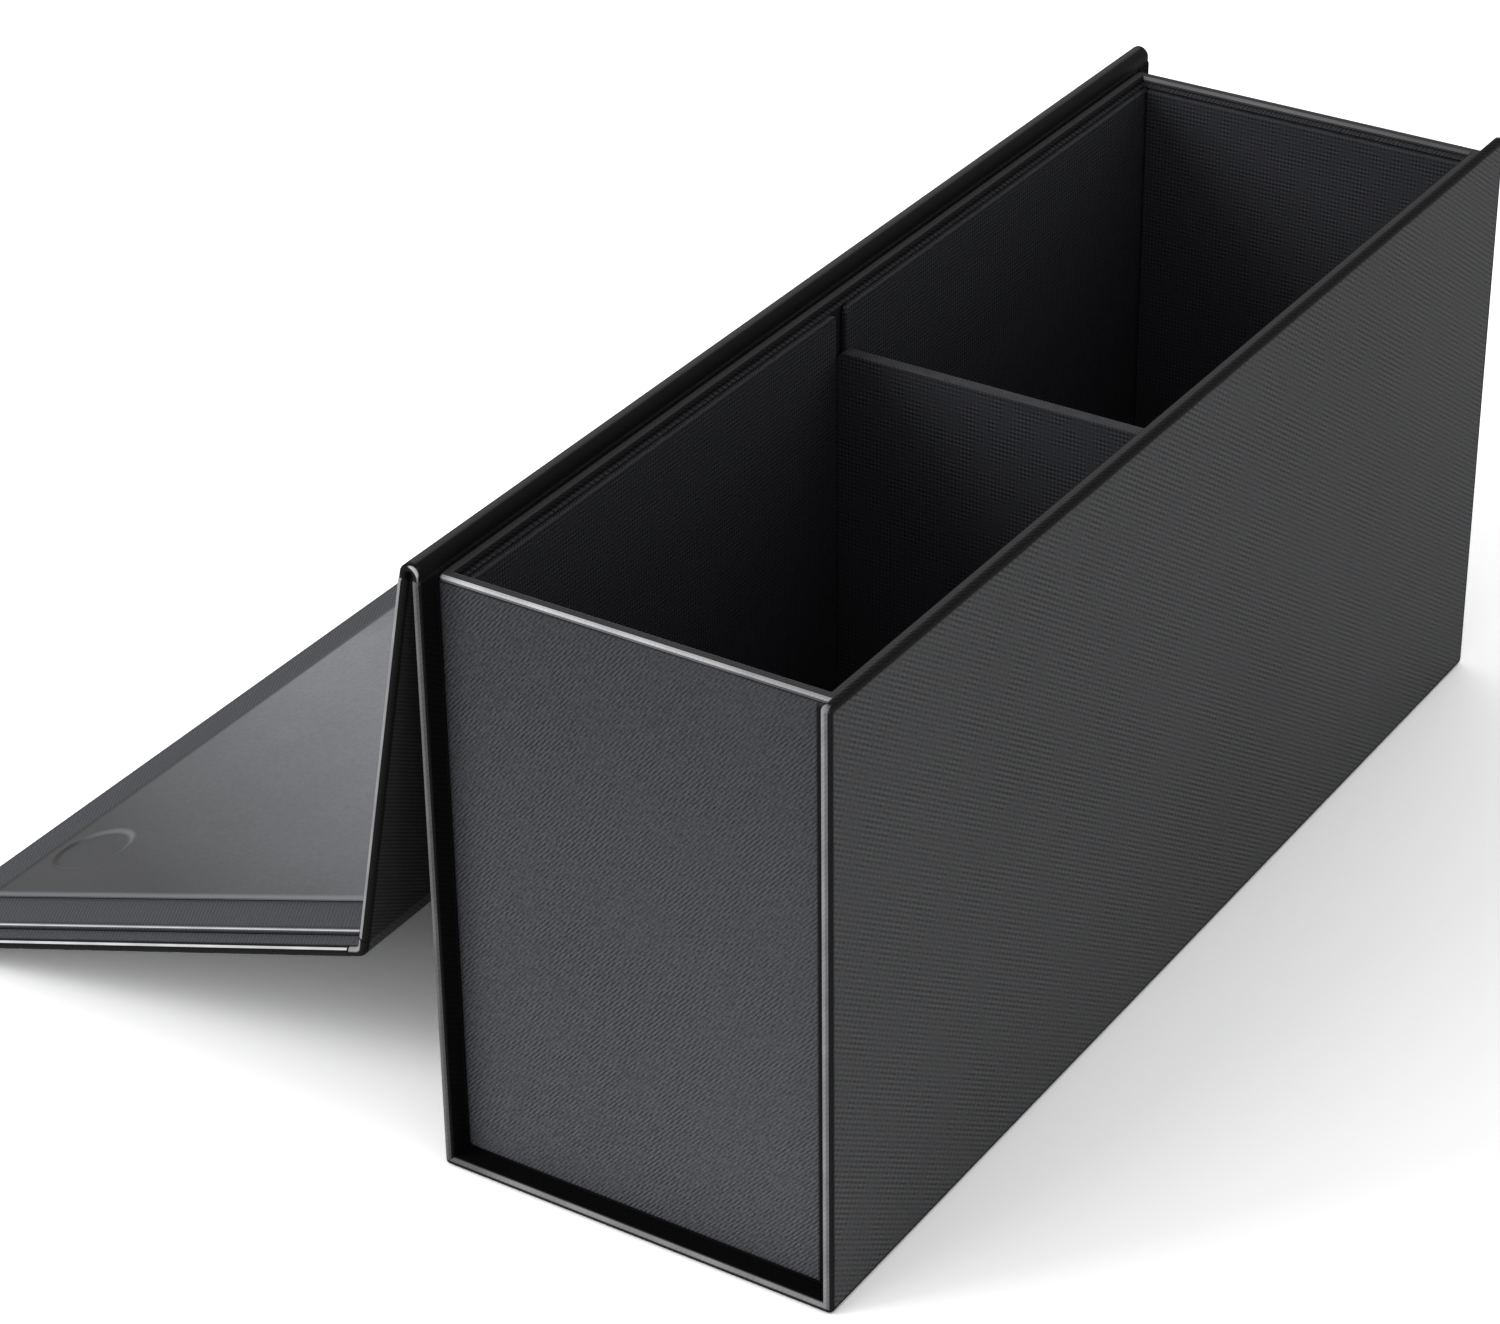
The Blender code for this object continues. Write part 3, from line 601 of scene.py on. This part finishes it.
def dress(nodes, finish):
    """Give CAD pieces a finish."""
    for name in nodes:
        slots = frame["nodes"][name].material_slots
        if not slots:
            frame["nodes"][name].data.materials.append(finish.material)
        for slot in slots:
            slot.material = finish.material


# Small tools for meshes


def panel_box(name, way, origin):
    """Two opposite corners of a piece, along a tilted panel and across it."""
    turn = Matrix.Rotation(math.atan2(way.z, way.x), 3, "Y")
    corners = [turn @ (vert.co - origin) for vert in frame["nodes"][name].data.vertices]
    low, high = ([pick(corner[axis] for corner in corners) for axis in range(3)] for pick in (min, max))
    return Vector(low), Vector(high)


def select_only(*objects):
    """Select these objects alone."""
    bpy.ops.object.select_all(action="DESELECT")
    for obj in objects:
        obj.select_set(True)
    bpy.context.view_layer.objects.active = objects[0]


def push(way, distance):
    """Extrude the selected face along a way in X and Z."""
    step = (way.x * distance, 0.0, way.y * distance)
    bpy.ops.mesh.extrude_region_move(TRANSFORM_OT_translate={"value": step})


def fold(name, start, way, lengths, radius, angle, thickness):
    """A fold of doubled cloth along Y: a flat part, a round bend and a flat part, as (x, z) from a start."""
    across = COVER_HIGH.y - COVER_LOW.y
    bpy.ops.object.select_all(action="DESELECT")
    turn = math.atan2(way.x, way.y)
    place = (start.x, 0.0, start.y)
    bpy.ops.mesh.primitive_plane_add(size=1.0, location=place, rotation=(0.0, turn, 0.0))
    made = bpy.context.object
    made.name = name
    made.scale = (thickness, across, 1.0)
    bpy.ops.object.transform_apply(location=True, rotation=True, scale=True)
    bpy.ops.object.mode_set(mode="EDIT")
    bpy.ops.mesh.select_all(action="SELECT")
    bpy.ops.mesh.bevel(offset=thickness * CORNER_SHARE, segments=CORNER_STEPS, affect="VERTICES")
    push(way, lengths[0])
    side = math.copysign(1.0, angle)
    centre = start + way * lengths[0] + Vector((-way.y, way.x)) * radius * side
    middle = (centre.x, 0.0, centre.y)
    bpy.ops.mesh.spin(steps=BEND_STEPS, angle=angle, center=middle, axis=(0.0, 1.0, 0.0))
    push(Matrix.Rotation(angle, 2) @ way, lengths[1])
    bpy.ops.mesh.select_all(action="SELECT")
    bpy.ops.mesh.remove_doubles(threshold=WELD)
    bpy.ops.mesh.normals_make_consistent(inside=False)
    bpy.ops.object.mode_set(mode="OBJECT")
    select_only(made)
    bpy.ops.object.shade_smooth_by_angle(angle=SMOOTH_ANGLE)
    return made


def flat(vector):
    """X and Z of a point."""
    return Vector((vector.x, vector.z))


# One operator for each group of pieces


class STORAGECASE_OT_cover_cloth(bpy.types.Operator):
    """Finish the cover and the tray in woven cloth"""

    bl_idname = "storagecase.cover_cloth"
    bl_label = "Cover Cloth"

    def execute(self, context):
        cloth = context.scene.storage_case_cloth
        dress(CASE_CLOTH, cover_finish(cloth))
        dress(TRAY_CLOTH, tray_finish(cloth))
        return {"FINISHED"}


def cover_finish(cloth):
    """Cloth of the front, base and back panels, with painted shade and highlights at its top edge and ends,
    a painted dark line at its foot and painted shade in the reveal.
    """
    finish = cloth_finish("Cover Cloth", cloth, cloth.side_colour, contrast=0.56, pitch=cloth.side_pitch)
    tree = finish.tree
    parts = tree.split(finish.place)
    # Painted shade along the top edge, with a dim painted highlight
    paint_edge_light_and_shade(cloth, finish, tree.math("SUBTRACT", COVER_HIGH.z, parts[2]), pale=0.2)
    # Painted highlight at the ends, weaker towards the back panel
    sides = tree.ramp(parts[0], BACK_LINE_FROM, BACK_LINE_TO, 0.52, 1.0)
    paint_edge_light_and_shade(cloth, finish, finish.from_ends(COVER_HIGH.y), pale=sides, facing=(0.0, 0.8))
    paint_foot_shade(cloth, finish)
    paint_reveal_shade(cloth, finish)
    return finish


def tray_finish(cloth):
    """Cloth of the tray, painted lighter towards its foot for the light the table throws back, with painted
    shade below the rim and in the corner, a painted glint on top and a painted highlight along the rim of
    its end walls.
    """
    finish = cloth_finish("Tray Cloth", cloth, cloth.end_colour, contrast=0.55)
    tree = finish.tree
    x, y, z = tree.split(finish.place)
    # Painted light: lighter towards the foot, darker towards the rim
    table_light_feeds = {"Value": z, "From Max": TRAY_HIGH.z, "To Min": 1.42, "To Max": 0.82}
    table_light_share = tree.add("ShaderNodeMapRange", table_light_feeds).outputs[0]
    table_lit_colour = tree.add("ShaderNodeVectorMath", {0: finish.colour, "Scale": table_light_share}, operation="SCALE")
    finish.paint(table_lit_colour.outputs[0])
    # Painted shade below the rim
    below_rim = tree.math("SUBTRACT", TRAY_HIGH.z, z)
    paint_edge_light_and_shade(cloth, finish, below_rim, pale=0.0)
    paint_corner_shade(cloth, finish)
    glint_on_top(cloth, finish, 0.13)
    # Painted highlight along the rim of the end walls, strongest at the near end and towards the front
    from_side = tree.math("SUBTRACT", TRAY_HIGH.x, tree.math("ABSOLUTE", x))
    bead_highlight_share = tree.ramp(tree.math("SUBTRACT", from_side, finish.from_ends(TRAY_HIGH.y)), -MITRE, MITRE)
    bead_highlight_share = tree.math("MULTIPLY", bead_highlight_share, tree.ramp(y, -MIDDLE, MIDDLE, 1.0, 0.3))
    bead_highlight_share = tree.math("MULTIPLY", bead_highlight_share, tree.ramp(x, RIM_LINE_FROM, TRAY_HIGH.x, 1.0, 0.6))
    edge_light = {"dark": 0.0, "lean": 0.0, "facing": (0.64, 0.78), "colour": cloth.bead_highlight_colour}
    paint_edge_light_and_shade(cloth, finish, below_rim, pale=bead_highlight_share, **edge_light)
    return finish


class STORAGECASE_OT_panel_cloth(bpy.types.Operator):
    """Finish the lid and the flap in woven cloth that runs along each tilted panel"""

    bl_idname = "storagecase.panel_cloth"
    bl_label = "Panel Cloth"

    def execute(self, context):
        cloth = context.scene.storage_case_cloth
        half = COVER_HIGH.y
        pad_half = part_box("flap_pad_wrap")[1].y
        # The lid's cloth at half the side colour is painted shade, for the lid hanging in shadow beside the
        # back panel
        lid_shade_colour = tuple(0.5 * part for part in cloth.side_colour)
        lid = cloth_finish("Lid Cloth", cloth, lid_shade_colour, LID_WAY, LID_AXIS)
        # Painted shade and a painted highlight along the lid's ends
        paint_edge_light_and_shade(cloth, lid, lid.from_ends(half), facing=(0.63, 0.72))
        dress(LID_CLOTH, lid)
        flap = cloth_finish("Flap Cloth", cloth, cloth.panel_colour, FLAP_WAY, FLAP_AXIS)
        # Painted shade and a painted highlight along the flap's ends
        paint_edge_light_and_shade(cloth, flap, flap.from_ends(half), facing=(0.83, 0.87), colour=cloth.bead_highlight_colour)
        dress(FLAP_CLOTH, flap)
        pad = cloth_finish("Pad Cloth", cloth, cloth.panel_colour, FLAP_WAY, FLAP_AXIS)
        # Painted highlight along the pad's ends, with lighter painted shade
        edge_light = {"dark": 0.4, "facing": (0.72, 0.84), "colour": cloth.bead_highlight_colour}
        paint_edge_light_and_shade(cloth, pad, pad.from_ends(pad_half), **edge_light)
        dress(PAD_CLOTH, pad)
        return {"FINISHED"}


class STORAGECASE_OT_lining(bpy.types.Operator):
    """Line the tray and the divider, and lay the liners of the lid and the flap"""

    bl_idname = "storagecase.lining"
    bl_label = "Lining"

    def execute(self, context):
        lining = context.scene.storage_case_lining
        dress(LINING + DIVIDER_PAPER, lining_finish(lining))
        sheen = tuple(lining.liner_colour)
        low, high = panel_box("flap_liner", FLAP_WAY, FLAP_AXIS)
        magnets = []
        for name in MAGNETS:
            middle = sum(panel_box(name, FLAP_WAY, FLAP_AXIS), Vector(ORIGIN)) / 2
            magnets.append((middle.x, middle.y, low.z))
        flap = liner_finish("Flap Liner Paper", sheen, high, FLAP_WAY, FLAP_AXIS, (2.76, 4.14), magnets)
        dress(FLAP_LINER, flap)
        high = panel_box("lid_liner", LID_WAY, LID_AXIS)[1]
        dress(LID_LINER, liner_finish("Lid Liner Paper", sheen, high, LID_WAY, LID_AXIS, (2.0, 3.0)))
        return {"FINISHED"}


class STORAGECASE_OT_hidden_parts(bpy.types.Operator):
    """Finish the boards, the steel discs and the magnets"""

    bl_idname = "storagecase.hidden_parts"
    bl_label = "Boards and Metal"

    def execute(self, context):
        # The boards are near black so that where they show in the gaps they read as shade: painted shade
        dress(BOARDS, board_finish("Dyed Black Board", (0.005, 0.005, 0.006), (0.012, 0.012, 0.013)))
        dress(CATCH_DISCS, metal_finish("Plain Steel", (0.55, 0.56, 0.58), 0.35))
        dress(MAGNETS, metal_finish("Nickel Plate", (0.66, 0.65, 0.62), 0.22))
        return {"FINISHED"}


class STORAGECASE_OT_lid_hinge(bpy.types.Operator):
    """Make the cloth loop that joins the back panel's top to the lid"""

    bl_idname = "storagecase.lid_hinge"
    bl_label = "Lid Hinge"

    def execute(self, context):
        hinge = context.scene.storage_case_hinge
        cloth = context.scene.storage_case_cloth
        low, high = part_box("lid_hinge_cloth")
        thickness = hinge.loop_thickness
        way = flat(LID_WAY)
        liner_side = Vector((way.y, -way.x))
        back_middle = COVER_LOW.x + PANEL_THICKNESS / 2
        panel_edge = flat(LID_AXIS) + way * hinge.setback + liner_side * hinge.skin_depth
        angle = math.pi - math.atan2(-way.x, -way.y)
        radius = (back_middle - panel_edge.x) / (1.0 + math.cos(math.pi - angle))
        start = Vector((back_middle, low.z - hinge.tuck))
        rise = high.z - thickness / 2 - radius - start.y
        last = (start.y + rise + radius * math.sin(angle) - panel_edge.y) / -way.y + hinge.tuck
        made = fold("lid_hinge_loop", start, Vector((0.0, 1.0)), (rise, last), radius, angle, thickness)
        # The loop's cloth takes the edge shade colour: painted shade, near black
        finish = cloth_finish("Lid Hinge Cloth", cloth, cloth.edge_shade_colour, contrast=0.1)
        # A painted glint along its top
        glint_on_top(cloth, finish, 0.14)
        # Painted highlight along the loop's ends
        shine = {"lean": 0.5, "facing": (0.74, 0.84), "colour": cloth.bead_highlight_colour}
        paint_edge_light_and_shade(cloth, finish, finish.from_ends(COVER_HIGH.y), **shine)
        made.data.materials.append(finish.material)
        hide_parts("lid_hinge_cloth")
        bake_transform(made)
        return {"FINISHED"}


class STORAGECASE_OT_flap_hinge(bpy.types.Operator):
    """Make the cloth bend that joins the lid to the flap"""

    bl_idname = "storagecase.flap_hinge"
    bl_label = "Flap Hinge"

    def execute(self, context):
        hinge = context.scene.storage_case_hinge
        cloth = context.scene.storage_case_cloth
        way, flap_way = flat(LID_WAY), flat(FLAP_WAY)
        angle = -way.angle(flap_way)
        depth, setback, radius = hinge.skin_depth, hinge.setback, hinge.bend_radius
        start = flat(FLAP_AXIS) - way * setback + Vector((way.y, -way.x)) * depth
        straight = setback - (depth + radius) * math.tan(abs(angle) / 2)
        lengths = (straight + hinge.tuck, straight + hinge.tuck)
        tucked = start - way * hinge.tuck
        made = fold("flap_hinge_fold", tucked, way, lengths, radius, angle, hinge.thickness)
        finish = cloth_finish("Flap Hinge Cloth", cloth, cloth.side_colour, contrast=0.3)
        # Painted shade and a painted highlight along the fold's ends
        paint_edge_light_and_shade(cloth, finish, finish.from_ends(COVER_HIGH.y), facing=(0.68, 0.82))
        made.data.materials.append(finish.material)
        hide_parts("flap_hinge_cloth")
        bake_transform(made)
        return {"FINISHED"}


class STORAGECASE_OT_studio(bpy.types.Operator):
    """Set the table, the lights and the camera"""

    bl_idname = "storagecase.studio"
    bl_label = "Studio"

    def execute(self, context):
        studio = context.scene.storage_case_studio
        add_table(studio)
        add_sky(context.scene, studio)
        for name, place, size, key in SOFT_BOXES:
            add_softbox(name, place, size, getattr(studio, key))
        add_camera(context.scene, studio)
        context.scene.view_settings.view_transform = "Standard"
        return {"FINISHED"}


def seen_share(tree):
    """1 for what the camera or a reflection sees, and 0 for light that bounces on."""
    light = tree.add("ShaderNodeLightPath").outputs
    seen = tree.math("MAXIMUM", light["Is Camera Ray"], light["Is Transmission Ray"])
    return tree.math("MAXIMUM", seen, light["Is Glossy Ray"])


def add_table(studio):
    """A wide pale table top that takes the shadow, seen bright as an overexposed backdrop is."""
    bpy.ops.object.select_all(action="DESELECT")
    bpy.ops.mesh.primitive_plane_add(size=TABLE_SIZE, location=(0.0, 0.0, -TABLE_DROP))
    table = bpy.context.object
    table.name = "table"
    bpy.ops.object.transform_apply(location=True, rotation=True, scale=True)
    finish = Finish("Pale Table", 0.95, specular=0.0)
    bright = tuple(studio.backdrop * part for part in studio.floor_colour)
    finish.paint(finish.tree.tint(seen_share(finish.tree), tuple(studio.floor_colour), bright))
    table.data.materials.append(finish.material)


def add_sky(scene, studio):
    """Even light from all round, which the camera and reflections see as white."""
    world = bpy.data.worlds.new("Studio Sky")
    world.use_nodes = True
    scene.world = world
    tree = Tree(world.node_tree)
    sky = world.node_tree.nodes["Background"]
    sky.inputs["Color"].default_value = (1.0, 1.0, 1.0, 1.0)
    tree.feed(sky.inputs["Strength"], tree.blend(seen_share(tree), studio.sky, 1.0))


def add_softbox(name, place, size, power):
    """A square soft box that looks at the case."""
    light = bpy.data.lights.new(name, "AREA")
    light.shape = "SQUARE"
    light.size = size
    light.energy = power
    lamp = bpy.data.objects.new(name, light)
    lamp.location = place
    lamp.rotation_euler = (AIM - Vector(place)).to_track_quat("-Z", "Y").to_euler()
    bpy.context.scene.collection.objects.link(lamp)


def add_camera(scene, studio):
    """The camera at the photograph's viewing angle."""
    camera = bpy.data.cameras.new("Camera")
    camera.lens = studio.focal_length
    camera.sensor_width = SENSOR_WIDTH
    camera.clip_end = FAR_CLIP
    holder = bpy.data.objects.new("Camera", camera)
    down, roll, turn = studio.camera_turn
    facing = Euler((math.pi / 2 - down, 0.0, turn)).to_matrix() @ Matrix.Rotation(roll, 3, "Z")
    holder.rotation_euler = facing.to_euler()
    holder.location = studio.camera_place
    scene.collection.objects.link(holder)
    scene.camera = holder


class STORAGECASE_PT_finish(bpy.types.Panel):
    """Steps that finish the storage case"""

    bl_label = "Storage Case"
    bl_idname = "STORAGECASE_PT_finish"
    bl_space_type = "VIEW_3D"
    bl_region_type = "UI"
    bl_category = "Storage Case"

    def draw(self, context):
        for key in SETTINGS:
            settings = getattr(context.scene, key)
            box = self.layout.box()
            box.label(text=key.removeprefix("storage_case_").title())
            for part in settings.__annotations__:
                box.prop(settings, part)
        for step in STEPS:
            self.layout.operator(step.bl_idname)


STEPS = (
    STORAGECASE_OT_cover_cloth,
    STORAGECASE_OT_panel_cloth,
    STORAGECASE_OT_lining,
    STORAGECASE_OT_hidden_parts,
    STORAGECASE_OT_lid_hinge,
    STORAGECASE_OT_flap_hinge,
    STORAGECASE_OT_studio,
)
SETTINGS = {
    "storage_case_cloth": StorageCaseCloth,
    "storage_case_lining": StorageCaseLining,
    "storage_case_hinge": StorageCaseHinge,
    "storage_case_studio": StorageCaseStudio,
}


def register():
    """Add the settings, the steps and the panel."""
    for key, group in SETTINGS.items():
        bpy.utils.register_class(group)
        setattr(bpy.types.Scene, key, PointerProperty(type=group))
    for kind in (*STEPS, STORAGECASE_PT_finish):
        bpy.utils.register_class(kind)


def unregister():
    """Take the settings, the steps and the panel away."""
    for kind in (STORAGECASE_PT_finish, *reversed(STEPS)):
        bpy.utils.unregister_class(kind)
    for key, group in SETTINGS.items():
        delattr(bpy.types.Scene, key)
        bpy.utils.unregister_class(group)


def main():
    """Run every step in order."""
    register()
    for step in STEPS:
        group, name = step.bl_idname.split(".")
        getattr(getattr(bpy.ops, group), name)()


if __name__ == "__main__":
    main()
